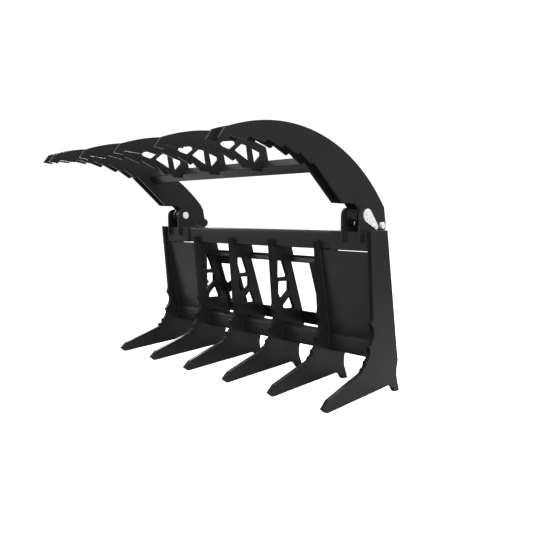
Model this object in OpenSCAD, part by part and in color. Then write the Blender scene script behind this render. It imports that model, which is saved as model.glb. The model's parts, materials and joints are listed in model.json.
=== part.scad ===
// Skid steer root grapple: six barbed tine plates in a welded frame and a toothed top clamp
// that two hydraulic cylinders close onto them. Millimetres, +X across the attachment,
// +Y back towards the loader, +Z up. Left is the operator's left, +X.
// The plates are drawn with the tine's upper tip at Y 0 and the heel at Z 0, and the
// whole is then tipped by the stance angle, so that it stands on the tips and the heels.

/* [Frame] */
// Width over the two side plates
overall_w = 1829; // [1700:1:1980]
// Thickness of the side plates and the tine plates
plate_t = 25; // [18:0.5:30]
// Slip gap round a tube or a pin that is let into a plate
slip = 0.3; // [0.1:0.05:0.5]

/* [Tine tip] */
// Set-back of the lower tip behind the upper tip
nose_set = 30; // [20:1:38]
// Height of the lower tip above the heel line
nose_low = 32; // [20:1:45]
// Height of the blunt nose
nose_h = 23; // [15:1:30]
// Length of the chamfer on top of the nose
nose_top_l = 42; // [34:1:60]
// Height of the chamfer on top of the nose
nose_top_h = 37; // [25:1:50]
// Slope of the tine's top edge in degrees
tine_slope = 15.8; // [13:0.1:18]
// Distance from the tip to the foot of the barbs
throat_y = 318; // [290:1:330]

/* [Barbs] */
// Run of the first barb's back
barb_run = 12; // [6:0.5:18]
// Rise of the first barb's back
barb_rise = 20; // [12:0.5:28]
// Chord of the first scallop, the next ones are two and three times as long
barb_pitch = 40.6; // [34:0.2:44]
// Slope of the first scallop's chord in degrees
barb_ang = 53; // [48:0.5:58]
// Angle that each next chord turns up by in degrees
barb_turn = 15; // [12:0.5:17]
// Depth of a scallop as a share of its chord
scallop = 0.28; // [0.2:0.01:0.32]
// Flat left at each end of a scallop
barb_land = 1.5; // [0.5:0.1:3]
// Set-back of the front edge behind the top barb
step_run = 17; // [10:0.5:22]
// Rise from the top barb to the front edge
step_rise = 32; // [20:1:40]
// Forward lean of the front edge in degrees
front_lean = 5; // [4:0.1:6]

/* [Heel] */
// Distance from the tip to the back of the heel
heel_y = 692; // [670:1:710]
// Length of the heel's flat
heel_l = 45; // [30:1:60]
// Height of the tine's underside ahead of the heel
belly_h = 50; // [42:1:60]
// Length of the recess ahead of the heel
belly_l = 57; // [45:1:75]
// Height of the hollow behind the heel
hollow_h = 126; // [110:1:140]
// Depth of the hollow behind the heel
hollow_d = 12; // [6:0.5:18]
// Set-in of the hollow from the back of the heel
hollow_in = 20; // [12:1:26]

/* [Side plates] */
// Height of the side plate above the top beam
side_rise = 6; // [2:0.5:12]
// Depth of the side plate's flat top
side_top = 160; // [150:1:175]
// Set-in of the side plate's knee in front of the hollow
side_knee = 13; // [5:1:20]
// Height of the side plate's knee above the hollow
side_knee_h = 60; // [40:1:80]

/* [Top beam] */
// Distance from the tip to the beam's front
beam_y = 414; // [405:1:425]
// Height of the beam's underside
beam_z = 801; // [790:1:815]
// Depth of the beam
beam_d = 127; // [110:1:130]
// Height of the beam
beam_h = 102; // [90:1:110]
// Wall of the beam
beam_wall = 6.4; // [4:0.2:10]
// Corner radius of the beam
beam_r = 12; // [8:0.5:16]
// Height of the tine plate's tab in front of the beam
tab_h = 45; // [25:1:60]
// Thickness of the pads on the front of the beam's ends
pad_t = 12; // [8:0.5:16]
// Length of the pads along the beam
pad_l = 255; // [200:1:300]

/* [Bottom tube] */
// Distance from the tip to the tube's front
tube_y = 498; // [490:1:505]
// Height of the tube's underside
tube_z = 204; // [190:1:220]
// Size of the square tube
tube_s = 100; // [90:1:104]
// Wall of the square tube
tube_wall = 8; // [5:0.5:12]
// Corner radius of the square tube
tube_r = 10; // [6:0.5:14]
// Thickness of the back panels
panel_t = 10; // [6:0.5:14]
// Slit between a back panel and the beam
panel_slit = 10; // [4:0.5:20]

/* [Windows in the tine plates] */
// Corner radius of the windows
window_r = 7; // [3:0.5:10]
// Width of the bar between the upper and the middle window
window_bar = 23; // [16:1:32]
// Width of the diagonal bar
window_diag = 40; // [30:1:48]

/* [Quick attach] */
// Width of the quick attach
attach_w = 1143; // [1120:1:1160]
// Length of the quick attach down its slope
attach_l = 437; // [425:1:445]
// Lean of the quick attach in degrees
attach_lean = 19.2; // [18.5:0.1:20]
// Thickness of the quick attach plates
attach_t = 10; // [6:0.5:14]
// Distance from the tip to the quick attach's top corner
attach_y = 574; // [570:1:580]
// Height of the quick attach's top corner
attach_z = 703; // [690:1:710]
// Width of each side plate of the quick attach
attach_side = 236; // [215:1:250]
// Width of the rims round the side plates' windows
attach_rim = 62; // [50:1:70]
// Height of the bottom plate of the quick attach
attach_foot = 80; // [60:1:95]
// Rise of the diagonal bands in the side plates in degrees
attach_band = 28; // [20:1:34]
// Length of the sloped top flange
flange_l = 34; // [28:1:40]
// Slope of the top flange in degrees
flange_ang = 40; // [34:1:46]
// Height of the lip on the top flange
lip_h = 14; // [10:0.5:18]
// Length of the hook behind the lip
hook_l = 42; // [34:1:50]
// Depth of the bottom flange
foot_l = 50; // [40:1:60]
// Distance of each latch slot from the middle
latch_x = 414; // [400:1:430]
// Width of a latch slot
latch_w = 46; // [30:1:60]
// Depth of a latch slot
latch_d = 22; // [16:1:28]

/* [Hinge] */
// Distance from the tip to the clamp's hinge
hinge_y = 445; // [440:1:450]
// Height of the clamp's hinge
hinge_z = 988; // [980:1:1000]
// Diameter of the hinge pins
pin_d = 45; // [38:0.5:50]
// Thickness of the hinge lugs
lug_t = 13; // [10:0.5:20]
// Space between a side plate and the outer lug
lug_space = 44; // [34:1:60]
// Space between the two lugs of a pair
lug_gap = 101.5; // [95:0.5:110]
// Distance of a lug's front edge ahead of the hinge
lug_front = 63; // [50:1:66]
// Height of a lug above the hinge
lug_top = 43; // [40:1:54]
// Radius of a lug's top corners
lug_r = 43; // [30:1:46]
// Length of the lug's tongue in front of the beam
lug_tongue = 57; // [40:1:70]
// Side gap between the clamp and the lugs
side_gap = 2; // [1:0.25:3]
// Outer diameter of the hub tubes
hub_d = 66; // [60:0.5:72]
// Thickness of the pin flags
flag_t = 6; // [4:0.5:8]
// Radius of a pin flag's head
flag_r = 36; // [30:0.5:40]
// Radius of a pin flag's tail
flag_tail = 15; // [12:0.5:18]
// Distance of the flag's tail from the hinge
flag_l = 102; // [92:1:110]
// Angle of the flag below level in degrees
flag_ang = 36; // [30:1:40]
// Diameter of the flag's bolt
bolt_d = 10; // [8:0.5:12]
// Distance of the flag's bolt behind the hinge
bolt_y = 61; // [54:1:66]
// Distance of the flag's bolt below the hinge
bolt_z = 53; // [46:1:58]
// Distance of the flag's two small holes from the hinge
tap_l = 19; // [15:0.5:21]
// Diameter of the flag's two small holes
tap_d = 7; // [4:0.5:9]

/* [Clamp arms] */
// Thickness of the clamp's arm plates
arm_t = 12; // [8:0.5:14]
// Space between the two plates of an outer arm at the hinge
arm_gap = 48; // [46:0.5:60]
// Angle in degrees at which an inner plate runs in from the hinge to the tip
arm_toe = 1.13; // [0.6:0.01:1.4]
// Distance of the middle pair of arms from the middle of the grapple
arm_x = 354; // [330:1:375]
// Distance of an arm's upper tip ahead of the hinge
tip_y = 965.5; // [955:0.5:975]
// Height of an arm's upper tip above the hinge
tip_z = 363; // [355:0.5:372]
// Distance of an outer arm's rear corner behind the hinge
rear_y = 227; // [220:1:235]
// Height of an outer arm's rear corner above the hinge
rear_z = 45; // [38:1:52]
// Radius of the top edge
arc_r = 1092; // [1000:2:1300]
// Set-in of an inner plate's top edge towards the tip
inner_set = 30; // [20:1:40]
// Drop of an inner plate's top edge
inner_drop = 11; // [6:1:14]
// Set-in of an inner plate's rear corner from the outer plate's
inner_back = 56; // [30:1:70]
// Length of the blunt end of an arm
beak_l = 59; // [52:1:62]
// Slope of the blunt end in degrees
beak_ang = 52.5; // [48:0.5:58]
// Radius of an arm's eye round the hinge
eye_r = 42; // [40:1:46]
// Distance of the neck's corner ahead of the hinge
neck_y = 52; // [46:1:60]
// Distance of the underside's corner ahead of the hinge
knee_y = 163; // [140:1:175]
// Height of the underside's corner above the hinge
knee_z = 66; // [58:1:72]
// Radius of the outer plate's eye round the rod pin
rod_eye_r = 48; // [44:1:50]
// Radius of the inner plate's eye round the rod pin
rod_boss_r = 28; // [24:1:34]
// Diameter of the small hole in the inner plates
lift_hole_d = 13; // [10:0.5:20]
// Distance of the small hole behind the hinge
lift_hole_y = 149; // [140:1:160]
// Distance of the small hole below the hinge
lift_hole_z = 50; // [40:1:60]

/* [Clamp teeth] */
// Number of teeth under an outer arm
teeth = 6; // [4:1:6]
// Distance of the first tooth ahead of the hinge
first_y = 949; // [940:1:956]
// Height of the first tooth above the hinge
first_z = 309; // [302:1:316]
// Distance of the last tooth ahead of the hinge
last_y = 410; // [395:1:425]
// Height of the last tooth above the hinge
last_z = 248.5; // [240:0.5:256]
// Radius of the line of tooth tips
tooth_r = 950; // [850:5:1200]
// Height of a tooth
tooth_h = 18; // [10:0.5:24]
// Angle of a tooth's steep face in degrees along the line of teeth
tooth_face = 0.85; // [0.4:0.05:1.4]

/* [Clamp cross tube] */
// Size of the square cross tube
cross_s = 60; // [50:1:66]
// Wall of the cross tube
cross_wall = 5; // [3:0.5:8]
// Distance of the cross tube ahead of the hinge
cross_y = 252.5; // [245:0.5:260]
// Height of the cross tube above the hinge
cross_z = 263; // [255:1:270]

/* [Cylinders] */
// Distance from the tip to the cylinder's base pin
base_y = 650; // [645:1:660]
// Height of the cylinder's base pin
base_z = 420; // [410:1:425]
// Distance of the rod pin behind the hinge
rod_y = 198; // [192:1:204]
// Distance of the rod pin below the hinge
rod_z = 55.5; // [50:0.5:60]
// Diameter of the cylinder pins
cyl_pin_d = 32; // [25:0.5:36]
// Outer diameter of the barrel
barrel_d = 64; // [58:0.5:66]
// Wall of the barrel
barrel_wall = 6; // [4:0.5:8]
// Length of rod that shows while the clamp is open
rod_show = 19; // [10:1:26]
// Length of the gland beyond the barrel
gland_l = 20; // [12:1:24]
// Diameter of the piston rod
rod_d = 32; // [25:0.5:36]
// Length of the piston
piston_l = 35; // [25:1:42]
// Width of the eyes at both ends of a cylinder
eye_w = 38; // [32:1:40]
// Thickness of the clevis plates at the base pin
clevis_t = 16; // [10:0.5:20]
// Radius of the clevis plates round the base pin
clevis_r = 40; // [34:1:42]
// Side gap between a clevis plate and the base eye
clevis_gap = 1; // [0.5:0.1:2]
// Diameter of the threaded ports
port_d = 14; // [10:0.5:16]
// Diameter of the base pins' heads
head_d = 46; // [40:1:50]
// Thickness of the base pins' heads
head_t = 8; // [5:0.5:10]
// Diameter of the rod pins' heads
cap_d = 38; // [34:1:42]
// Thickness of the rod pins' heads
cap_t = 16; // [10:0.5:20]

/* [Hidden] */

// Round faces and the colours of the finish
$fn = 96;
BLACK = [0.16, 0.16, 0.155];
ZINC = [0.85, 0.85, 0.83];
CHROME = [0.78, 0.79, 0.8];

// Six plates share the width, so five equal bays
pitch = (overall_w - plate_t) / 5;
side_in = overall_w / 2 - plate_t;

// Stance: the tips and the heels stand on the ground
heel_front = heel_y - heel_l;
stance = atan2(nose_low, heel_front - nose_set);
heel_drop = heel_l * tan(stance);

// Barb tips, each further up and along a steeper chord
throat_z = nose_low + nose_h + nose_top_h + (throat_y - nose_top_l) * tan(tine_slope);
function barb(i) = i == 0 ? [throat_y + barb_run, throat_z + barb_rise]
    : barb(i - 1) + i * barb_pitch * dir(barb_ang + (i - 1) * barb_turn);
front_foot = barb(3) + [step_run, step_rise];
function front_at(z) = front_foot.x - (z - front_foot.y) * tan(front_lean);

// Top beam, bottom tube and the rear corner points
beam_top = beam_z + beam_h;
beam_back = beam_y + beam_d;
side_top_z = beam_top + side_rise;
tube_top = tube_z + tube_s;
tube_back = tube_y + tube_s;
hollow_y = heel_y - hollow_in;

// Quick attach: its top corner, its slope and its section
attach_top = [attach_y, attach_z];
down = dir(attach_lean - 90);
back = dir(attach_lean);
up_back = dir(flange_ang);
under = dir(flange_ang - 90);
flange_end = attach_top + flange_l * up_back;
lip_top = flange_end + [0, lip_h];
hook_top = lip_top + [attach_t * 1.2, 0];
hook_end = hook_top + hook_l * dir(-45);
attach_end = attach_top + attach_l * down;
foot_end = attach_end + (attach_t + foot_l) * back;

// Hinge, clamp and cylinder points, all hung from the hinge
hinge = [hinge_y, hinge_z];
pin_r = pin_d / 2;
hub_r = hub_d / 2;
lug_out = side_in - lug_space - lug_t;
lug_x = lug_out - lug_gap - lug_t;
arm_in = lug_x + lug_t + side_gap;
arm_out = arm_in + arm_t + arm_gap;
flag_end = hinge + flag_l * dir(-flag_ang);
flag_bolt = hinge + [bolt_y, -bolt_z];
upper_tip = hinge + [-tip_y, tip_z];
lower_tip = upper_tip - beak_l * dir(beak_ang);
rear_top = hinge + [rear_y, rear_z];
arc_c = arc_centre(upper_tip, rear_top, arc_r);
tooth_first = hinge + [-first_y, first_z];
tooth_last = hinge + [-last_y, last_z];
tooth_c = arc_centre(tooth_first, tooth_last, tooth_r);
tooth_ang = angle_of(tooth_first - tooth_c);
tooth_pitch = (tooth_ang - angle_of(tooth_last - tooth_c)) / (teeth - 1);
cross_c = hinge + [-cross_y, cross_z];
cross_h = cross_s * sqrt(2) / 2;
knee = hinge + [-knee_y, knee_z];
rod_pin = hinge + [rod_y, -rod_z];
base_pin = [base_y, base_z];

// Cylinder: closed length, its lean and its middle plane between the arm's plates
cyl_l = norm(rod_pin - base_pin);
cyl_lean = atan2(base_pin.x - rod_pin.x, rod_pin.y - base_pin.y);
barrel_r = barrel_d / 2;
bore_r = barrel_r - barrel_wall;
cyl_pin_r = cyl_pin_d / 2;
collar_r = cyl_pin_r + 8;
rod_in = arm_in + arm_t / cos(arm_toe) + (rod_y + collar_r) * tan(arm_toe);
rod_pocket = arm_in + rod_y * tan(arm_toe) + arm_t / 3;
cyl_x = (rod_in + arm_out) / 2;
collar_gap = 0.5;
collar_w = (arm_out - rod_in) / 2 - eye_w / 2 - collar_gap;
neck_l = barrel_r + 12;
eye_l = barrel_r + 14;
barrel_l = cyl_l - eye_l - gland_l - rod_show;

// The origin is under the middle of the standing grapple
function stood(p) = [p.x * cos(stance) - p.y * sin(stance), p.x * sin(stance) + p.y * cos(stance)];
rear_most = max(stood(foot_end).x, stood(foot_end + attach_t * down).x);
mid_y = (stood(lower_tip).x + rear_most) / 2;
lift = -stood([heel_front, 0]).y;

function dir(a) = [cos(a), sin(a)];
function unit(v) = v / norm(v);
function turn(v) = [v.y, -v.x];
function angle_of(v) = atan2(v.y, v.x);

// Centre below the chord from a to b of the arc with radius r through both
function arc_centre(a, b, r) =
    (a + b) / 2 + turn(unit(b - a)) * sqrt(r * r - (b - a) * (b - a) / 4);

// Corners of a convex outline, each rounded by an arc of radius r
function rounded(p, r, n = 5) = [for (i = [0:len(p) - 1])
    let (a = p[(i + len(p) - 1) % len(p)], b = p[i], c = p[(i + 1) % len(p)],
         u = unit(a - b), v = unit(c - b), h = acos(u * v) / 2,
         o = b + unit(u + v) * r / sin(h),
         s = b + u * r / tan(h) - o, e = b + v * r / tan(h) - o,
         a0 = atan2(s.y, s.x), da = (atan2(e.y, e.x) - a0 + 540) % 360 - 180)
    for (k = [0:n]) o + r * dir(a0 + da * k / n)];

// Stands the drawn model on its tips and heels
module stand() translate([0, -mid_y, lift]) rotate([stance, 0, 0]) children();

// Extrudes an outline in Y and Z from x over the thickness t
module slab(x, t) translate([x, 0, 0]) rotate([90, 0, 90]) linear_extrude(t) children();

// A round bar along X through a point p in Y and Z
module bar(p, r, x, t, f = 96) slab(x, t) translate(p) circle(r, $fn = f);

module disc(p, r) translate(p) circle(r);

// Copies a left-hand piece to the right
module hand(s) mirror([s < 0 ? 1 : 0, 0, 0]) children();

// A circle that bites behind the chord from a to b and leaves a small flat at both ends
module bite(a, b, sag) {
    c = norm(b - a) - 2 * barb_land;
    r = (c * c / 4 + sag * sag) / (2 * sag);
    translate((a + b) / 2 - turn(unit(b - a)) * (r - sag)) circle(r, $fn = 128);
}

// Two discs joined by their outer tangents
module link(p, rp, q, rq) {
    a = atan2(q.y - p.y, q.x - p.x);
    b = acos((rp - rq) / norm(q - p));
    disc(p, rp);
    disc(q, rq);
    polygon([p + rp * dir(a + b), p + rp * dir(a - b), q + rq * dir(a - b), q + rq * dir(a + b)]);
}

// A rectangle with true round corners from corner p over size s
module round_box(p, s, r) {
    translate(p + [r, 0]) square([s.x - 2 * r, s.y]);
    translate(p + [0, r]) square([s.x, s.y - 2 * r]);
    for (i = [0, 1], j = [0, 1])
        translate(p + [r + i * (s.x - 2 * r), r + j * (s.y - 2 * r)]) circle(r, $fn = 48);
}

module square_tube(p, s, r, w) difference() {
    round_box(p, s, r);
    round_box(p + [w, w], s - 2 * [w, w], max(r - w, 1));
}

module tube_outline(g = 0)
    round_box([tube_y - g, tube_z - g], [tube_s + 2 * g, tube_s + 2 * g], tube_r);

// Nose, top edge, barbs and front edge up to the height z, with the heel below
function tine_front(z) = [
    [heel_y, -heel_drop], [heel_front, 0], [heel_front - 23, belly_h * 0.56],
    [heel_front - belly_l, belly_h], [heel_front - belly_l - 20, belly_h],
    [nose_set, nose_low], [0, nose_low + nose_h], [nose_top_l, nose_low + nose_h + nose_top_h],
    [throat_y, throat_z], barb(0), barb(1), barb(2), barb(3),
    barb(3) + [step_run / 2, step_rise / 4], front_foot, [front_at(z), z]];

module barbs_cut() for (i = [1:3]) bite(barb(i - 1), barb(i), scallop * i * barb_pitch);

module heel_cut(top) bite(top, [hollow_y, belly_h], hollow_d);

module side_outline() difference() {
    polygon(concat(tine_front(side_top_z), [
        [front_at(side_top_z) + side_top, side_top_z],
        [hollow_y - side_knee, belly_h + hollow_h + side_knee_h],
        [hollow_y, belly_h + hollow_h], [hollow_y, belly_h]]));
    barbs_cut();
    heel_cut([hollow_y, belly_h + hollow_h]);
}

// Points on the quick attach's front line, by height
function attach_at(z) = attach_top.x + (attach_top.y - z) * tan(attach_lean);

module inner_outline() {
    heel_top = [hollow_y - 8, belly_h + hollow_h - 21];
    foot_z = attach_end.y + 14;
    difference() {
        polygon(concat(tine_front(beam_z + tab_h), [
            [beam_y, beam_z + tab_h], [beam_y, beam_z], [beam_back + 34, beam_z],
            [beam_back + 40, beam_z - 12], [flange_end.x, flange_end.y],
            attach_top, [attach_at(foot_z), foot_z], heel_top, [hollow_y, belly_h]]));
        barbs_cut();
        heel_cut(heel_top);
        tube_outline(slip);
        inner_windows();
    }
}

// Three lightening windows, set off the front edge and the attach line
module inner_windows() {
    f = front_foot.x + 32;
    z1 = (beam_z + tube_top) / 2 + 52;
    z2 = z1 - window_bar;
    b = [f + 12, tube_top + 154];
    c = [attach_at(tube_top + 260) - 68, tube_top + 212];
    n = turn(unit(c - b)) * window_diag;
    polygon(rounded([[f, z1 + 114], [f + 48, z1 + 110], [f + 95, z1], [f, z1]], window_r));
    polygon(rounded([[f + 8, z2], [c.x, z2 - 5], c, [f + 33, b.y + 6], [f + 8, tube_top + 203]],
        window_r));
    polygon(rounded([c + n + [-8, 4], [attach_at(tube_top + 92) - 72, tube_top + 94],
        [b.x + 45, tube_top + 100], b + n + [18, 2]], window_r));
}

module side_plate(s) color(BLACK) stand() hand(s) slab(side_in, plate_t) side_outline();

module tine_plate(i) color(BLACK) stand()
    slab((i - 2.5) * pitch - plate_t / 2, plate_t) inner_outline();

module top_beam() color(BLACK) stand() slab(-side_in, 2 * side_in)
    square_tube([beam_y, beam_z], [beam_d, beam_h], beam_r, beam_wall);

// Pad on the front of the beam behind the tongues of the lugs
module beam_pad(s) color(BLACK) stand() hand(s) slab(side_in - pad_l, pad_l)
    translate([beam_y - pad_t, beam_z]) square([pad_t, beam_h]);

module bottom_tube() color(BLACK) stand() slab(-side_in, 2 * side_in)
    square_tube([tube_y, tube_z], [tube_s, tube_s], tube_r, tube_wall);

module back_panel(s) color(BLACK) stand() hand(s)
    slab(1.5 * pitch + plate_t / 2, side_in - 1.5 * pitch - plate_t / 2)
    translate([tube_y + tube_r, tube_top])
    square([panel_t, beam_z - panel_slit - tube_top]);

// Lug on the beam, with a tongue in front of it and a round-cornered head
module lug_outline() difference() {
    union() {
        translate([hinge_y - lug_front, beam_top])
            square([lug_front + lug_front, hinge_z + lug_top - lug_r - beam_top]);
        translate([hinge_y - lug_front + lug_r, beam_top])
            square([2 * (lug_front - lug_r), hinge_z + lug_top - beam_top]);
        for (i = [-1, 1])
            disc([hinge_y + i * (lug_front - lug_r), hinge_z + lug_top - lug_r], lug_r);
        polygon([[hinge_y, beam_top], [beam_back, beam_top], [beam_back, flag_bolt.y + 14],
            [hinge_y + lug_front, hinge_z + lug_top - lug_r], [hinge_y, hinge_z]]);
        translate([hinge_y - lug_front, beam_top - lug_tongue])
            square([beam_y - pad_t - hinge_y + lug_front, lug_tongue + 1]);
    }
    disc(hinge, pin_r + slip);
}

module lug(s, x) color(BLACK) stand() hand(s) difference() {
    slab(x, lug_t) lug_outline();
    bar(flag_bolt, bolt_d / 2 + slip, x - 1, lug_t + 2, 48);
}

module attach_section() polygon([attach_top, flange_end, lip_top, hook_top, hook_end,
    hook_end + attach_t * dir(-135), flange_end + attach_t * under + [3, 8],
    flange_end + attach_t * under, attach_top + attach_t * under]);

module attach_top_lip() color(BLACK) stand() slab(-attach_w / 2, attach_w) attach_section();

// Lays an outline in X and down the slope onto the attach's front face
module on_attach() translate([0, attach_top.x, attach_top.y]) rotate([attach_lean - 90, 0, 0])
    children();

module attach_plate(s) color(BLACK) stand() hand(s) difference() {
    w = attach_w / 2;
    i = w - attach_side;
    m = attach_l - 26;
    k = tan(attach_band);
    on_attach() linear_extrude(attach_t) difference() {
        translate([i, 0]) square([attach_side, attach_l]);
        polygon(rounded([[i + attach_rim, attach_rim], [w - attach_rim, attach_rim],
            [w - attach_rim, 166 + (w - i - 2 * attach_rim) * k], [i + attach_rim, 166]], 18));
        polygon(rounded([[i + attach_rim, 240], [w - attach_rim, 240 + (w - i - 2 * attach_rim) * k],
            [w - attach_rim, m], [i + attach_rim, m]], 12));
    }
    slab(0, attach_w) attach_section();
}

// Bottom plate between the side plates, with the slotted flange along its lower edge
module attach_bottom_plate() color(BLACK) stand() {
    i = attach_w / 2 - attach_side;
    on_attach() translate([-i, attach_l - attach_foot]) cube([2 * i, attach_foot, attach_t]);
    on_attach() difference() {
        translate([-attach_w / 2, attach_l, 0]) cube([attach_w, attach_t, attach_t + foot_l]);
        for (s = [-1, 1]) translate([s * latch_x - latch_w / 2, attach_l - 1, attach_t + 12])
            cube([latch_w, attach_t + 2, latch_d]);
    }
}

// Clevis plates on the bottom tube, one on each side of the cylinder's base eye
module clevis(s) color(BLACK) stand() hand(s) for (t = [-1, 1])
    slab(cyl_x + t * (eye_w / 2 + clevis_gap + clevis_t / 2) - clevis_t / 2, clevis_t) difference() {
        union() {
            disc(base_pin, clevis_r);
            polygon([[tube_back - tube_s / 2, tube_top], [tube_back, tube_top],
                [tube_back, tube_z + tube_r], [tube_back + clevis_r * 0.75, tube_z + tube_r],
                base_pin + [clevis_r, 0], base_pin + clevis_r * dir(140)]);
        }
        disc(base_pin, cyl_pin_r + slip);
    }

// Hinge pin with its retaining disc inside the inner lug and its teardrop flag outside
// the outer lug
module hinge_pin(s) color(ZINC) stand() hand(s) {
    bar(hinge, pin_r, lug_x - 0.5, lug_out + lug_t - lug_x + 0.5);
    bar(hinge, pin_r + 1.5, lug_x - 0.5 - flag_t, flag_t);
    slab(lug_out + lug_t, flag_t) difference() {
        link(hinge, flag_r, flag_end, flag_tail);
        disc(flag_bolt, bolt_d / 2 + slip);
        for (a = [173, 251]) translate(hinge + tap_l * dir(a)) circle(tap_d / 2, $fn = 32);
    }
}

module flag_bolts() color(ZINC) stand() for (s = [-1, 1]) hand(s) {
    bar(flag_bolt, bolt_d / 2, lug_out, lug_t + flag_t, 48);
    bar(flag_bolt, bolt_d * 0.92, lug_out + lug_t + flag_t, bolt_d * 0.6, 6);
}

// Base pin through the clevis, with a head at each end
module base_pin_set(s) color(ZINC) stand() hand(s) {
    h = eye_w / 2 + clevis_gap + clevis_t;
    bar(base_pin, cyl_pin_r, cyl_x - h, 2 * h);
    for (x = [cyl_x - h - head_t, cyl_x + h]) bar(base_pin, head_d / 2, x, head_t);
}

// Saw teeth along the line of teeth: steep face at each tip, long slope to the next
function tooth_line(n) = [for (i = [0:n - 1]) let (a = tooth_ang - i * tooth_pitch)
    each [tooth_c + tooth_r * dir(a), tooth_c + (tooth_r + tooth_h) * dir(a - tooth_face)]];

function arm_end(n) = concat([upper_tip + 50 * dir(beak_ang), lower_tip], tooth_line(n));

// The outer arm runs back over the hinge to the rod pin
module long_arm_outline() {
    g = rod_pin + rod_eye_r * dir(12);
    intersection() {
        disc_arc();
        union() {
            polygon(concat(arm_end(teeth), [knee, hinge + [-neck_y, knee_z - 3],
                hinge + eye_r * dir(122), hinge, hinge - [0, eye_r],
                rod_pin - rod_eye_r * [0.76, 0.6], rod_pin, g, rear_top,
                rear_top + 2 * (rear_top - g), [hinge_y, hinge_z + 600]]));
            disc(hinge, eye_r);
            disc(rod_pin, rod_eye_r);
        }
    }
}

// The inner plate has a lower top edge and ends shorter, with an eye for the rod pin
module inner_arm_outline() {
    top = rear_top - [inner_back, 0];
    foot = rod_pin + rod_eye_r * [0.15, -1.1];
    union() {
        intersection() {
            long_arm_outline();
            translate([-inner_set, -inner_drop]) disc_arc();
            polygon([top + 6 * (top - foot), 2 * foot - top, [lower_tip.x - 500, hinge_z - 500],
                [lower_tip.x - 500, hinge_z + 1500]]);
        }
        disc(rod_pin, rod_boss_r);
    }
}

module disc_arc() translate(arc_c) circle(arc_r, $fn = 360);

// The short middle arm ends in a seat on the front of the cross tube
module short_arm_outline() {
    n = teeth - 1;
    seat_top = cross_c + [0, cross_h];
    seat_low = cross_c - [cross_h, 0];
    intersection() {
        disc_arc();
        difference() {
            polygon(concat(arm_end(n), [
                cross_c + [-192, -11], cross_c + [-128, -8], cross_c + [-122, -25],
                seat_low - [10, 27], seat_low, seat_top, cross_c + [-14, 96],
                cross_c + [-22, 120], cross_c + [-60, 260], cross_c + [-400, 260]]));
            arm_windows();
        }
    }
}

// A window corner, by its angle on the top edge and its depth below it
function below_arc(a, d) = arc_c + (arc_r - d) * dir(a);

module arm_windows() {
    polygon(rounded([below_arc(90.3, 62), below_arc(89.2, 48), below_arc(84.7, 33),
        below_arc(84.2, 48), below_arc(86.5, 82), below_arc(89.3, 73)], 4, 3));
    polygon(rounded([below_arc(84.5, 81), below_arc(81.9, 37), below_arc(79.8, 37),
        below_arc(78.2, 114)], 4, 3));
    polygon(rounded([below_arc(77.9, 41), below_arc(74.2, 43), below_arc(73.9, 58),
        below_arc(75.8, 114)], 4, 3));
}

module outer_arm(s) color(BLACK) stand() hand(s) slab(arm_out, arm_t) difference() {
    long_arm_outline();
    disc(hinge, hub_r + slip);
    disc(rod_pin, cyl_pin_r + slip);
}

// Turns an inner plate about the hinge, so that it runs in towards the tip
module toed() translate([arm_in, hinge_y, 0]) rotate([0, 0, -arm_toe])
    translate([-arm_in, -hinge_y, 0]) children();

// The rod pin's inner end sits in a pocket that stops short of the plate's inner face
module inner_arm(s) color(BLACK) stand() hand(s) difference() {
    toed() slab(arm_in, arm_t) inner_arm_outline();
    bar(hinge, hub_r + slip, arm_in - arm_t, 3 * arm_t);
    bar(rod_pin, cyl_pin_r + slip, rod_pocket, 3 * arm_t);
    bar(hinge + [lift_hole_y, -lift_hole_z], lift_hole_d / 2, arm_in - arm_t, 4 * arm_t, 48);
}

module middle_arm(x) color(BLACK) stand() slab(x - arm_t / 2, arm_t) short_arm_outline();

// The cross tube is cut to the inner faces of the two toed plates
module clamp_cross_tube() color(BLACK) stand() difference() {
    slab(-arm_in, 2 * arm_in) translate(cross_c) rotate(45)
        square_tube([-cross_s / 2, -cross_s / 2], [cross_s, cross_s], 4, cross_wall);
    for (s = [-1, 1]) hand(s) toed()
        translate([arm_in, cross_c.x - cross_s, cross_c.y - cross_s]) cube(2 * cross_s);
}

module hub_tube(s) color(BLACK) stand() hand(s) slab(arm_in, lug_out - side_gap - arm_in)
    difference() {
        disc(hinge, hub_r);
        disc(hinge, pin_r + slip);
    }

// The rod pin's two ends: one in the outer plate with its head, one in the inner pocket
module rod_pin_ends(s) color(ZINC) stand() hand(s) {
    bar(rod_pin, cyl_pin_r, rod_pocket + slip, rod_in - rod_pocket - slip);
    bar(rod_pin, cyl_pin_r, arm_out, arm_t);
    bar(rod_pin, cap_d / 2, arm_out + arm_t, cap_t);
}

// A nipple under each hub tube, between the two plates of the arm
module grease_fittings() color(ZINC) stand() for (s = [-1, 1]) hand(s)
    translate([(arm_in + arm_t + arm_out) / 2, hinge.x, hinge.y]) rotate([172, 0, 0])
    translate([0, 0, hub_r]) {
        cylinder(d = 10, h = 5, $fn = 6);
        cylinder(d = 6.5, h = 16, $fn = 32);
    }

// Cylinder pieces are drawn along the line from the base pin to the rod pin
module on_cylinder(s) stand() hand(s) translate([cyl_x, base_y, base_z])
    rotate([cyl_lean, 0, 0]) children();

port_low = neck_l + port_d / 2 + 10;
port_high = barrel_l - 30 - port_d / 2 - 4;
piston_z = port_low + port_d / 2 + 4;

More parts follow.
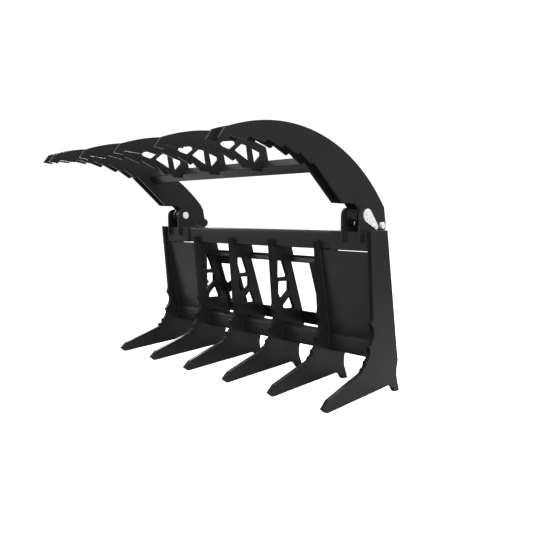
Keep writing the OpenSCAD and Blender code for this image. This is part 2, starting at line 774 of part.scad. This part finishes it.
module barrel(s) color(BLACK) on_cylinder(s) difference() {
    union() {
        translate([0, 0, neck_l]) cylinder(r = barrel_r, h = barrel_l - neck_l);
        for (z = [port_low, port_high]) translate([0, 0, z]) rotate([-90, 0, 0])
            cylinder(d = port_d + 12, h = barrel_r + 12);
    }
    translate([0, 0, neck_l - 1]) cylinder(r = bore_r, h = barrel_l);
    for (z = [port_low, port_high]) translate([0, 0, z]) rotate([-90, 0, 0])
        cylinder(d = port_d, h = barrel_r + 13);
}

// Gland: a spigot in the barrel and a collar on its end
module gland(s) color(ZINC) on_cylinder(s) difference() {
    union() {
        translate([0, 0, barrel_l]) cylinder(r = barrel_r + 1, h = gland_l);
        translate([0, 0, barrel_l - 30]) cylinder(r = bore_r - 0.1, h = 31);
    }
    translate([0, 0, barrel_l - 31]) cylinder(d = rod_d + 2 * slip, h = gland_l + 32);
}

module base_eye(s) color(BLACK) on_cylinder(s) difference() {
    union() {
        rotate([0, 90, 0]) cylinder(r = barrel_r - 1, h = eye_w, center = true);
        cylinder(r = barrel_r, h = neck_l);
    }
    rotate([0, 90, 0]) cylinder(r = cyl_pin_r + slip, h = barrel_d + 2, center = true);
    for (t = [-1, 1]) translate([t * (eye_w / 2 + 20), 0, 0])
        cube([40, barrel_d + 2, 2 * neck_l - 4], center = true);
}

module rod(s) color(CHROME) on_cylinder(s) {
    translate([0, 0, piston_z]) cylinder(r = bore_r - slip, h = piston_l);
    translate([0, 0, piston_z + piston_l])
        cylinder(d = rod_d, h = cyl_l - eye_l - piston_z - piston_l);
}

module rod_eye(s) color(BLACK) on_cylinder(s) difference() {
    union() {
        translate([0, 0, cyl_l]) rotate([0, 90, 0])
            cylinder(r = barrel_r - 1, h = eye_w, center = true);
        translate([0, 0, cyl_l - eye_l]) cylinder(d = eye_w - 1, h = barrel_r);
    }
    translate([0, 0, cyl_l]) rotate([0, 90, 0])
        cylinder(r = cyl_pin_r + slip, h = eye_w + 2, center = true);
}

// Middle of the rod pin with a spacer collar on each side of the rod eye
module rod_collar(s) color(ZINC) on_cylinder(s) translate([0, 0, cyl_l]) rotate([0, 90, 0]) {
    cylinder(r = cyl_pin_r, h = arm_out - rod_in - 2 * collar_gap, center = true);
    for (t = [-1, 1]) translate([0, 0, t * (eye_w / 2 + collar_w / 2 + 0.1)])
        cylinder(r = collar_r, h = collar_w - 0.2, center = true);
}

side_plate(1);  // side_plate_left
side_plate(-1);  // side_plate_right
tine_plate(4);  // tine_plate_1
tine_plate(3);  // tine_plate_2
tine_plate(2);  // tine_plate_3
tine_plate(1);  // tine_plate_4
top_beam();
beam_pad(1);  // beam_pad_left
beam_pad(-1);  // beam_pad_right
bottom_tube();
back_panel(1);  // back_panel_left
back_panel(-1);  // back_panel_right
lug(1, lug_x);  // hinge_lug_left_inner
lug(1, lug_out);  // hinge_lug_left_outer
lug(-1, lug_x);  // hinge_lug_right_inner
lug(-1, lug_out);  // hinge_lug_right_outer
attach_top_lip();
attach_bottom_plate();
attach_plate(1);  // attach_plate_left
attach_plate(-1);  // attach_plate_right
clevis(1);  // cylinder_clevis_left
clevis(-1);  // cylinder_clevis_right
hinge_pin(1);  // hinge_pin_left
hinge_pin(-1);  // hinge_pin_right
flag_bolts();
base_pin_set(1);  // base_pin_left
base_pin_set(-1);  // base_pin_right
outer_arm(1);  // clamp_arm_left_outer
inner_arm(1);  // clamp_arm_left_inner
middle_arm(arm_x);  // clamp_arm_middle_left
middle_arm(0);  // clamp_arm_middle
middle_arm(-arm_x);  // clamp_arm_middle_right
inner_arm(-1);  // clamp_arm_right_inner
outer_arm(-1);  // clamp_arm_right_outer
clamp_cross_tube();
hub_tube(1);  // hub_tube_left
hub_tube(-1);  // hub_tube_right
rod_pin_ends(1);  // rod_pin_left
rod_pin_ends(-1);  // rod_pin_right
grease_fittings();
barrel(1);  // barrel_left
barrel(-1);  // barrel_right
gland(1);  // gland_left
gland(-1);  // gland_right
base_eye(1);  // base_eye_left
base_eye(-1);  // base_eye_right
rod(1);  // rod_left
rod(-1);  // rod_right
rod_eye(1);  // rod_eye_left
rod_eye(-1);  // rod_eye_right
rod_collar(1);  // rod_collar_left
rod_collar(-1);  // rod_collar_right
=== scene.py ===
# %% [markdown]
# Root grapple for a skid steer loader, dressed in Blender.
# The CAD model gives every piece its real size and place. This script gives each piece
# its finish: satin black paint over plasma-cut plate, zinc-plated pins and chromed rods.
# The frame is loaded first, because every later step asks it where things are.

# %% Load the frame
import json
import math

import bmesh
import bpy
from mathutils import Matrix, Vector

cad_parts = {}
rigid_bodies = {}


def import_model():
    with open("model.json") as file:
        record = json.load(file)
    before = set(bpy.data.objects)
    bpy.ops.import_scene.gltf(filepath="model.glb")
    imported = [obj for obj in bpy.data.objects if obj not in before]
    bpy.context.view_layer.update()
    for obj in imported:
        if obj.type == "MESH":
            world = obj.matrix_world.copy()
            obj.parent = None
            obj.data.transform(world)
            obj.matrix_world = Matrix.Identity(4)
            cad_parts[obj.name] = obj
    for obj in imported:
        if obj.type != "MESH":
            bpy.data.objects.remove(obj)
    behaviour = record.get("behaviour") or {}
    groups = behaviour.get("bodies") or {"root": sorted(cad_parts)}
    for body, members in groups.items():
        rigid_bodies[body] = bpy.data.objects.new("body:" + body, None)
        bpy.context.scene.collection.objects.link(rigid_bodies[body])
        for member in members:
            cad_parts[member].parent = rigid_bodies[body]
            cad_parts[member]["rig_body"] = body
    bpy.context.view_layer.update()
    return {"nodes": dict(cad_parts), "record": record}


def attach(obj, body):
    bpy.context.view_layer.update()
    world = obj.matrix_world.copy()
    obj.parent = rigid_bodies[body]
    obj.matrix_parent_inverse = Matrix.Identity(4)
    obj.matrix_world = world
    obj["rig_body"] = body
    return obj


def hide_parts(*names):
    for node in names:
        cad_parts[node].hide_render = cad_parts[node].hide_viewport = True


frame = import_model()
nodes = frame["nodes"]

# %% [markdown]
# The camera stands where the photographer stood. The lens and the place come from fitting
# the photograph's straight edges: tips, heels, beam and arms. The view looks down a few
# degrees and rolls two degrees, because the grapple stands tipped on its tips and heels.

# %% Camera
SENSOR = 36.0
LENS = 37.96
EYE = Vector((2.549, -2.1931, 0.8514))
EYE_TURN = (86.8475, -2.0685, 44.1399)

camera_data = bpy.data.cameras.new("photo_camera")
camera_data.lens = LENS
camera_data.sensor_width = SENSOR
camera_data.clip_end = 100.0
camera = bpy.data.objects.new("photo_camera", camera_data)
camera.location = EYE
camera.rotation_euler = [math.radians(a) for a in EYE_TURN]
bpy.context.scene.collection.objects.link(camera)
bpy.context.scene.camera = camera
bpy.context.scene.view_settings.view_transform = "Standard"
print("camera at", tuple(round(v, 2) for v in EYE))

# %% [markdown]
# Shader maths reads best as plain sums. A Wire wraps one output socket, and adding or
# multiplying Wires adds the Math node that does it. Only the two operators that this
# object's finishes use are given.

# %% Sums of sockets
class Wire:
    """One output socket, on which Python's operators add Math nodes."""

    def __init__(self, finish, socket):
        self.finish = finish
        self.socket = socket

    def _math(self, operation, other):
        return self.finish.node("ShaderNodeMath", {"operation": operation}, {0: self, 1: other})

    def __add__(self, other):
        return self._math("ADD", other)

    def __mul__(self, other):
        return self._math("MULTIPLY", other)

    __radd__ = __add__
    __rmul__ = __mul__


print("sockets can be added and multiplied")

# %% [markdown]
# A Finish owns one material. Every node comes from one method, which takes the settings
# first and then the values or links of the sockets. Noise, bump and the mix of two colours
# are asked for so often that they get a method of their own.

# %% Making a finish
class Finish:
    """One material and the nodes that make it."""

    def __init__(self, name):
        self.material = bpy.data.materials.new(name)
        self.material.use_nodes = True
        self.tree = self.material.node_tree
        self.tree.nodes.clear()

    def node(self, kind, settings=None, inputs=None, output=0):
        made = self.tree.nodes.new(kind)
        for key, value in (settings or {}).items():
            setattr(made, key, value)
        for key, value in (inputs or {}).items():
            if isinstance(value, Wire):
                self.tree.links.new(value.socket, made.inputs[key])
            else:
                made.inputs[key].default_value = value
        return Wire(self, made.outputs[output])

    def mix(self, factor, first, second):
        """A colour between two colours."""
        made = self.tree.nodes.new("ShaderNodeMix")
        made.data_type = "RGBA"
        sockets = {socket.identifier: socket for socket in made.inputs}
        self.tree.links.new(factor.socket, sockets["Factor_Float"])
        sockets["A_Color"].default_value = (*first, 1.0)
        sockets["B_Color"].default_value = (*second, 1.0)
        return Wire(self, next(s for s in made.outputs if s.identifier == "Result_Color"))

    def noise(self, scale, detail, roughness=0.5):
        """Noise on the piece's own coordinates, from 0 to 1."""
        place = self.node("ShaderNodeTexCoord", output=3)
        return self.node("ShaderNodeTexNoise", {}, {"Vector": place, "Scale": scale, "Detail": detail,
                                                    "Roughness": roughness})

    def bump(self, height, distance):
        return self.node("ShaderNodeBump", {}, {"Height": height, "Distance": distance, "Strength": 1.0})

    def close(self, shader):
        """Wires a shader to the material's output."""
        out = self.tree.nodes.new("ShaderNodeOutputMaterial")
        self.tree.links.new(shader.socket, out.inputs["Surface"])
        return self.material

    def surface(self, **values):
        """The object's own shader, with its sockets by name."""
        sockets = {key.replace("_", " "): value for key, value in values.items()}
        return self.close(self.node("ShaderNodeBsdfPrincipled", {}, sockets))


print("finishes can be made")

# %% [markdown]
# The floor is plain white paper. Camera rays see it almost as bright as the paper behind,
# so only a breath of shadow is left under the tines. Every other ray sees a mid grey floor,
# because a white one would be mirrored in the paint and wash the black out.

# %% Floor
WHITE = (1.0, 1.0, 1.0, 1.0)
FLOOR_HALF = 30.0
FLOOR_DROP = -0.0005
FLOOR_SEEN = (0.8, 0.8, 0.8, 1.0)
FLOOR_MIRRORED = (0.4, 0.4, 0.4, 1.0)
FLOOR_GLOW = 0.9

floor_mesh = bpy.data.meshes.new("floor")
sheet = bmesh.new()
bmesh.ops.create_grid(sheet, x_segments=1, y_segments=1, size=FLOOR_HALF)
bmesh.ops.translate(sheet, verts=sheet.verts, vec=(0, 0, FLOOR_DROP))
sheet.to_mesh(floor_mesh)
sheet.free()
floor = bpy.data.objects.new("floor", floor_mesh)
bpy.context.scene.collection.objects.link(floor)

paper = Finish("white_paper")
seen = paper.node("ShaderNodeLightPath", output=0)
matt = paper.node("ShaderNodeBsdfDiffuse", {}, {"Color": FLOOR_SEEN})
glow = paper.node("ShaderNodeEmission", {}, {"Color": WHITE, "Strength": FLOOR_GLOW})
pale = paper.node("ShaderNodeAddShader", {}, {0: matt, 1: glow})
grey = paper.node("ShaderNodeBsdfDiffuse", {}, {"Color": FLOOR_MIRRORED})
floor_mesh.materials.append(paper.close(paper.node("ShaderNodeMixShader", {}, {0: seen, 1: grey, 2: pale})))
print("floor laid,", 2 * FLOOR_HALF, "metres wide")

# %% [markdown]
# The world is a studio tent, bright in front and dim behind: the panels and the beam mirror
# the front, and the side plates mirror what is behind. The camera sees plain white instead.
# A world has its own node tree, so its few nodes are made and linked one by one.

# %% World
PAPER_STRENGTH = 1.1
TENT_BACK = 0.36
TENT_FRONT = 0.92
TENT_BACK_FROM = 0.6
TENT_FRONT_FROM = -0.4

world = bpy.data.worlds.new("studio")
bpy.context.scene.world = world
world.use_nodes = True
sky = world.node_tree
sky.nodes.clear()
tent = sky.nodes.new("ShaderNodeBackground")
tent.inputs["Color"].default_value = WHITE
backdrop = sky.nodes.new("ShaderNodeBackground")
backdrop.inputs["Color"].default_value = WHITE
backdrop.inputs["Strength"].default_value = PAPER_STRENGTH
way = sky.nodes.new("ShaderNodeTexCoord")
parts = sky.nodes.new("ShaderNodeSeparateXYZ")
level = sky.nodes.new("ShaderNodeMapRange")
level.inputs["From Min"].default_value = TENT_BACK_FROM
level.inputs["From Max"].default_value = TENT_FRONT_FROM
level.inputs["To Min"].default_value = TENT_BACK
level.inputs["To Max"].default_value = TENT_FRONT
path = sky.nodes.new("ShaderNodeLightPath")
choose = sky.nodes.new("ShaderNodeMixShader")
sky_out = sky.nodes.new("ShaderNodeOutputWorld")
sky.links.new(way.outputs["Generated"], parts.inputs[0])
sky.links.new(parts.outputs["Y"], level.inputs["Value"])
sky.links.new(level.outputs[0], tent.inputs["Strength"])
sky.links.new(path.outputs["Is Camera Ray"], choose.inputs[0])
sky.links.new(tent.outputs[0], choose.inputs[1])
sky.links.new(backdrop.outputs[0], choose.inputs[2])
sky.links.new(choose.outputs[0], sky_out.inputs["Surface"])
print("tent from", TENT_BACK, "behind to", TENT_FRONT, "in front")

# %% [markdown]
# Four soft boxes finish the light: a big one overhead, one on each side, and a low one
# behind on the left where the tines' top edges mirror it. The camera doesn't see them.

# %% Lamps
MIDDLE = (0.0, 0.0, 0.7)
TINES = (0.0, -0.1, 0.05)


def softbox(name, place, aim, width, height, watts):
    """A rectangular area lamp at a place, turned to aim at a point."""
    data = bpy.data.lights.new(name, "AREA")
    data.shape = "RECTANGLE"
    data.size = width
    data.size_y = height
    data.energy = watts
    lamp = bpy.data.objects.new(name, data)
    lamp.location = place
    lamp.rotation_euler = (Vector(aim) - Vector(place)).to_track_quat("-Z", "Y").to_euler()
    lamp.visible_camera = False
    bpy.context.scene.collection.objects.link(lamp)


softbox("overhead", (0.3, 0.4, 4.6), MIDDLE, 4.0, 3.0, 260)
softbox("side", (-4.2, -2.6, 2.6), MIDDLE, 2.2, 2.2, 60)
softbox("fill", (4.6, -1.4, 2.4), MIDDLE, 2.0, 2.0, 120)
softbox("tine_light", (-2.5, 0.75, 1.45), TINES, 1.8, 1.4, 80)
print("four lamps hung")

# %% [markdown]
# Powder coat is a thin plastic skin baked onto steel. It is nearly black, satin, and a
# little uneven: the sheen wanders over a hand's width, and close up the skin has the fine
# dimples called orange peel. On the front-facing edges of the tine and side plates it lies
# over the drag lines that a plasma torch leaves, so there it is rougher and duller; its colour
# there is painted darker too, which is painted shade for the dark those edges mirror.

# %% Painted steel
def black_powder_coat():
    coat = Finish("black_powder_coat")
    wander = coat.noise(5.0, 4.0)
    fleck = coat.noise(60.0, 2.0)
    peel = coat.noise(420.0, 1.5)
    tone = coat.mix(wander, (0.0105, 0.0115, 0.0108), (0.0145, 0.0152, 0.0142))
    return coat.surface(Base_Color=tone, Roughness=0.24 + 0.1 * wander + 0.05 * fleck,
                        Specular_IOR_Level=0.24, Normal=coat.bump(peel, 0.00004))


# Painted shade: this finish's colour is darker than the coat's, for the dark that front-facing edges
# mirror.
def cut_edge_painted_shade():
    edge = Finish("cut_edge_painted_shade")
    drag = edge.noise(500.0, 2.0)
    tone = edge.mix(drag, (0.002, 0.0022, 0.002), (0.005, 0.0054, 0.005))
    return edge.surface(Base_Color=tone, Roughness=0.5 + 0.2 * drag, Specular_IOR_Level=0.1,
                        Normal=edge.bump(drag, 0.0001))


POWDER_COAT = black_powder_coat()
CUT_EDGE_PAINTED_SHADE = cut_edge_painted_shade()
print("paint mixed:", POWDER_COAT.name, "and", CUT_EDGE_PAINTED_SHADE.name)

# %% [markdown]
# Steel pins are zinc plated, which is bright, slightly warm and streaked. The cylinders'
# rods are ground and chromed, with a faint haze. The rods' wipers are black rubber, which
# is dark and dull, with a fine grain.

# %% Bare metal and rubber
def bright_zinc():
    zinc = Finish("bright_zinc")
    streak = zinc.noise(40.0, 4.0, 0.6)
    grain = zinc.noise(700.0, 2.0)
    tone = zinc.mix(streak, (0.86, 0.855, 0.82), (0.95, 0.95, 0.93))
    return zinc.surface(Base_Color=tone, Metallic=0.3, Roughness=0.26 + 0.14 * streak,
                        Normal=zinc.bump(grain, 0.00006))


def ground_chrome():
    chrome = Finish("ground_chrome")
    haze = chrome.noise(30.0, 3.0)
    return chrome.surface(Base_Color=(0.8, 0.81, 0.83, 1.0), Metallic=1.0, Roughness=0.06 + 0.06 * haze)


def black_rubber():
    rubber = Finish("black_rubber")
    grain = rubber.noise(900.0, 2.0)
    tone = rubber.mix(grain, (0.006, 0.006, 0.006), (0.012, 0.012, 0.012))
    return rubber.surface(Base_Color=tone, Roughness=0.6 + 0.1 * grain)


RUBBER = black_rubber()
FINISHES = {"black_paint": POWDER_COAT, "zinc": bright_zinc(), "chrome_rod": ground_chrome()}
print("finishes by slot:", ", ".join(FINISHES))

# %% [markdown]
# The back panels stand upright in the CAD model, and lean forward in the photograph. They
# could be rebuilt, but a shear does it in one step: it keeps the foot on the tube and brings
# the top to the front of the beam's underside.

# %% Lean of the back panels
PANEL_LEAN = 0.094


def lean_forward(shape):
    """Shears a back panel so that its top comes forward under the beam and its foot stays."""
    foot = min(v.co.z for v in shape.verts)
    top = max(v.co.z for v in shape.verts)
    slope = -PANEL_LEAN / (top - foot)
    shear = Matrix(((1, 0, 0, 0), (0, 1, slope, -slope * foot), (0, 0, 1, 0), (0, 0, 0, 1)))
    bmesh.ops.transform(shape, matrix=shear, verts=shape.verts)


print("panels will lean by", PANEL_LEAN, "m")

# %% [markdown]
# The CAD plates have knife-sharp corners, but cut and painted steel has small round edges
# that catch the light as thin bright lines. Each node is copied and its loose triangles are
# merged into flat faces. The front-facing edges of the tine and side plates get the rougher
# cut-edge finish, whose darker colour is painted shade.

# %% Joining a node's triangles
MERGE = 0.00002
FLAT = math.radians(0.6)
SHARP = math.radians(35)
PAINTED_SHADE_FACING = -0.5
ACROSS = 0.3


def joined_mesh(name, finish):
    """A copy of a CAD node's mesh with its flat faces joined and its finish on it."""
    mesh = nodes[name].data.copy()
    mesh.name = name + "_painted"
    shape = bmesh.new()
    shape.from_mesh(mesh)
    bmesh.ops.remove_doubles(shape, verts=shape.verts, dist=MERGE)
    bmesh.ops.dissolve_limit(shape, angle_limit=FLAT, verts=shape.verts, edges=shape.edges)
    if name.startswith("back_panel"):
        lean_forward(shape)
    barbed = name.startswith(("tine_plate", "side_plate"))
    for face in shape.faces:
        face.smooth = True
        # Faces of tine and side plates that face the front take the darker finish, which is painted shade.
        painted_shade_face = barbed and abs(face.normal.x) < ACROSS and face.normal.y < PAINTED_SHADE_FACING
        face.material_index = 1 if painted_shade_face else 0
    for edge in shape.edges:
        edge.smooth = edge.is_manifold and edge.calc_face_angle(0.0) < SHARP
    mesh.materials.clear()
    mesh.materials.append(FINISHES[finish])
    if finish == "black_paint":
        mesh.materials.append(CUT_EDGE_PAINTED_SHADE)
    shape.to_mesh(mesh)
    shape.free()
    return mesh


print("triangles within", MERGE, "m will be joined")

# %% [markdown]
# The Bevel modifier then rounds every edge that is sharper than 35 degrees, by about a
# millimetre. Each copy stands for its node, rides on the same body and takes the same slot.

# %% Round the edges of every piece
EDGE = {"black_paint": 0.0009, "zinc": 0.0009, "chrome_rod": 0.0006}


def rounded_copy(name, finish):
    """A copy of a CAD node with its sharp edges rounded, in the node's place."""
    mesh = joined_mesh(name, finish)
    piece = bpy.data.objects.new(mesh.name, mesh)
    bpy.context.scene.collection.objects.link(piece)
    bevel = piece.modifiers.new("edges", "BEVEL")
    bevel.width = EDGE[finish]
    bevel.segments = 2
    bevel.limit_method = "ANGLE"
    bevel.angle_limit = SHARP
    bevel.harden_normals = True
    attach(piece, nodes[name]["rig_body"])
    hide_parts(name)


slot_of = {part["node"]: part["material_slot"] for part in frame["record"]["subparts"]}
for name in sorted(nodes):
    rounded_copy(name, slot_of[name])
print("rounded", len(nodes), "pieces")

# %% [markdown]
# What follows is placed by the lines of the upright grapple, in millimetres, which is how
# its maker would dimension it. The grapple stands tipped onto its tips and heels, so one
# helper tips a point the same way and turns it into metres.

# %% From the upright grapple to the scene
STANCE = math.radians(2.96892)
MIDDLE_Y = 0.068917
LIFT = -0.033511
SIDES = (-1, 1)


def stood(x, y, z):
    """A point of the upright grapple in millimetres, as it stands in the scene in metres."""
    deep = (y * math.cos(STANCE) - z * math.sin(STANCE)) / 1000 - MIDDLE_Y
    high = (y * math.sin(STANCE) + z * math.cos(STANCE)) / 1000 + LIFT
    return Vector((x / 1000, deep, high))


print("tipped by", round(math.degrees(STANCE), 2), "degrees")

# %% [markdown]
# Every new piece ends in the same way: its normals are made to point outwards, its faces
# are shaded smooth, and it rides with the CAD node that carries it.

# %% Finishing a new piece
def finished(name, shape, finish, carrier):
    """Turns a bmesh into a smooth piece that rides with the node that carries it."""
    bmesh.ops.recalc_face_normals(shape, faces=shape.faces)
    for face in shape.faces:
        face.smooth = True
    mesh = bpy.data.meshes.new(name)
    shape.to_mesh(mesh)
    shape.free()
    mesh.materials.append(finish)
    piece = bpy.data.objects.new(name, mesh)
    bpy.context.scene.collection.objects.link(piece)
    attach(piece, nodes[carrier]["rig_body"])
    print(name, "has", len(mesh.polygons), "faces")


print("new pieces can be finished")

# %% [markdown]
# The plates are joined by fillet welds, and a welder's bead shows as a fine row of ripples
# in each corner. It could be bump on a plain strip, but the ripples break the light's line
# along the corner, so they are real. A bead is a small ring of points that is extruded along
# the corner, a little wider and narrower in turn.

# %% One weld bead
RIPPLE = 0.005
NARROW = 0.8
WIDE = 1.25
BEAD_SIDES = 8


def add_bead(shape, start, end, radius):
    """One rippled weld bead along a straight corner, made alone and then added."""
    run = end - start
    count = max(2, round(run.length / RIPPLE))
    bead = bmesh.new()
    bmesh.ops.create_circle(bead, cap_ends=True, segments=BEAD_SIDES, radius=radius)
    loop = list(bead.edges)
    for step in range(count):
        grown = bmesh.ops.extrude_edge_only(bead, edges=loop)["geom"]
        ring = [g for g in grown if isinstance(g, bmesh.types.BMVert)]
        inside = set(ring)
        loop = [g for g in grown if isinstance(g, bmesh.types.BMEdge)]
        loop = [e for e in loop if e.verts[0] in inside and e.verts[1] in inside]
        width = NARROW if step % 2 == 0 else WIDE
        bmesh.ops.scale(bead, verts=ring, vec=(width, width, 1.0))
        bmesh.ops.translate(bead, verts=ring, vec=(0, 0, run.length / count))
    bmesh.ops.contextual_create(bead, geom=loop)
    turn = run.to_track_quat("Z", "Y").to_matrix().to_4x4()
    bmesh.ops.transform(bead, matrix=Matrix.Translation(start) @ turn, verts=bead.verts)
    part = bpy.data.meshes.new("bead")
    bead.to_mesh(part)
    bead.free()
    shape.from_mesh(part)
    bpy.data.meshes.remove(part)


print("a ripple every", RIPPLE, "m")

# %% [markdown]
# The seams are the corners where plates meet: the panels' sides and feet, the pads' inner
# ends, the lugs on the beam and their tongues on the pads, the plates on the tube's front,
# and the clevis plates on the tube. Each is given by its faces in X, and by where it starts
# and ends in the side view.

# %% Weld the frame
PANEL_BEAD = 0.005
PLATE_BEAD = 0.004
FINE_BEAD = 0.003
PANEL_SIDES = (553.7, 889.5)
PANEL_ROOT = (507, 303)
PAD_ENDS = (634.5,)
LUG_FACES = (718.0, 731.0, 832.5, 845.5)
PLATE_FACES = (167.9, 192.9, 528.7, *PANEL_SIDES)
CLEVIS_FACES = (735.19, 807.19)
SEAMS = (
    (PANEL_SIDES, (507, 304), (413, 790), PANEL_BEAD),
    (PAD_ENDS, (413.5, 805), (413.5, 899), PLATE_BEAD),
    (LUG_FACES, (416, 903), (530, 903), PLATE_BEAD),
    (LUG_FACES, (402, 850), (402, 900), FINE_BEAD),
    (PLATE_FACES, (498, 216), (498, 292), PLATE_BEAD),
    (CLEVIS_FACES, (550, 304), (588, 304), PLATE_BEAD),
    (CLEVIS_FACES, (598, 216), (598, 292), PLATE_BEAD),
)

welds = bmesh.new()
for s in SIDES:
    near, far = (stood(s * x, *PANEL_ROOT) for x in PANEL_SIDES)
    add_bead(welds, near, far, PANEL_BEAD)
    for faces, start, end, radius in SEAMS:
        for x in faces:
            add_bead(welds, stood(s * x, *start), stood(s * x, *end), radius)
finished("frame_welds", welds, POWDER_COAT, "bottom_tube")

# %% [markdown]
# Round tubes are welded all round. A ring is a small circle of points, placed beside the
# axis and spun once about it, with its last step merged into its first.

# %% One ring
RING_SIDES = 8
RING_STEPS = 48


def add_ring(shape, centre, axis, radius, thick):
    """A ring of round section about an axis: a bead round a tube, or a wiper."""
    side = axis.orthogonal().normalized()
    made = bmesh.ops.create_circle(shape, segments=RING_SIDES, radius=thick)["verts"]
    turn = Matrix((side, axis, side.cross(axis))).transposed().to_4x4()
    bmesh.ops.transform(shape, matrix=Matrix.Translation(centre + side * radius) @ turn, verts=made)
    loop = [e for e in shape.edges if e.verts[0] in made and e.verts[1] in made]
    bmesh.ops.spin(shape, geom=made + loop, cent=centre, axis=axis, angle=math.tau, steps=RING_STEPS,
                   use_merge=True, use_duplicate=False)


print("a ring has", RING_STEPS, "steps")

# %% [markdown]
# The hub tubes are welded into the arm plates at both ends, and the barrels onto their base
# eyes. Where the chromed rod leaves its gland, a black rubber wiper keeps the dirt out.

# %% Hub beads, barrel beads and wipers
HUB = (445.0, 988.0)
HUB_FACES = (745.5, 792.5)
HUB_R = 0.033
HUB_BEAD = 0.0035
ACROSS_WAY = Vector((1, 0, 0))
CYLINDER_FOOT = (0.77119, 0.558457, 0.419592)
CYLINDER_WAY = Vector((0.0, -0.065428, 0.997857))
BARREL_FOOT = 0.044
BARREL_R = 0.032
BARREL_BEAD = 0.003
GLAND_END = 0.44755
WIPER_R = 0.0185
WIPER_THICK = 0.0022

hubs = bmesh.new()
for s in SIDES:
    for x in HUB_FACES:
        add_ring(hubs, stood(s * x, *HUB), ACROSS_WAY, HUB_R, HUB_BEAD)
finished("hub_welds", hubs, POWDER_COAT, "hub_tube_left")

for hand, s in (("left", 1), ("right", -1)):
    foot = Vector((s * CYLINDER_FOOT[0], *CYLINDER_FOOT[1:]))
    ring = bmesh.new()
    add_ring(ring, foot + CYLINDER_WAY * BARREL_FOOT, CYLINDER_WAY, BARREL_R, BARREL_BEAD)
    finished("barrel_weld_" + hand, ring, POWDER_COAT, "barrel_" + hand)
    ring = bmesh.new()
    add_ring(ring, foot + CYLINDER_WAY * GLAND_END, CYLINDER_WAY, WIPER_R, WIPER_THICK)
    finished("rod_wiper_" + hand, ring, RUBBER, "gland_" + hand)

# %% [markdown]
# Each hinge pin's flag has a washer under its bolt, and two tapped holes that look dark. A
# dark disc just under the flag's face stands for the shadow in each hole.

# %% One disc
DISC_SIDES = 40
LEVEL = 1e-6


def add_disc(shape, centre, radius, thick, rim):
    """A flat disc across X with a rounded rim."""
    made = bmesh.ops.create_cone(shape, cap_ends=True, segments=DISC_SIDES, radius1=radius,
                                 radius2=radius, depth=thick)["verts"]
    rims = [e for e in shape.edges if e.verts[0] in made and e.verts[1] in made
            and abs(e.verts[0].co.z - e.verts[1].co.z) < LEVEL]
    more = bmesh.ops.bevel(shape, geom=rims, offset=rim, offset_type="OFFSET", affect="EDGES",
                           segments=2, profile=0.5, material=-1)["verts"]
    whole = list({v for v in made if v.is_valid} | set(more))
    turn = Matrix.Rotation(math.pi / 2, 4, "Y")
    bmesh.ops.transform(shape, matrix=Matrix.Translation(centre) @ turn, verts=whole)


print("a disc has", DISC_SIDES, "sides")

# %% Washers and painted shadows in the tapped holes
FLAG_FACE = 851.5
WASHER_MIDDLE = FLAG_FACE + 0.9
WASHER_R = 0.0112
WASHER_THICK = 0.0018
WASHER_RIM = 0.0004
BOLT = (506.0, 935.0)
SHADOW_MIDDLE = FLAG_FACE - 1.6
SHADOW_R = 0.0034
SHADOW_THICK = 0.002
SHADOW_RIM = 0.0002
TAPS = ((426.14, 990.32), (438.81, 970.04))

washers = bmesh.new()
shadows = bmesh.new()
for s in SIDES:
    add_disc(washers, stood(s * WASHER_MIDDLE, *BOLT), WASHER_R, WASHER_THICK, WASHER_RIM)
    for tap in TAPS:
        add_disc(shadows, stood(s * SHADOW_MIDDLE, *tap), SHADOW_R, SHADOW_THICK, SHADOW_RIM)
finished("flag_washers", washers, FINISHES["zinc"], "flag_bolts")
# These discs take the black rubber finish only as painted shadow in the holes.
finished("tapped_hole_painted_shadows", shadows, RUBBER, "hinge_pin_left")
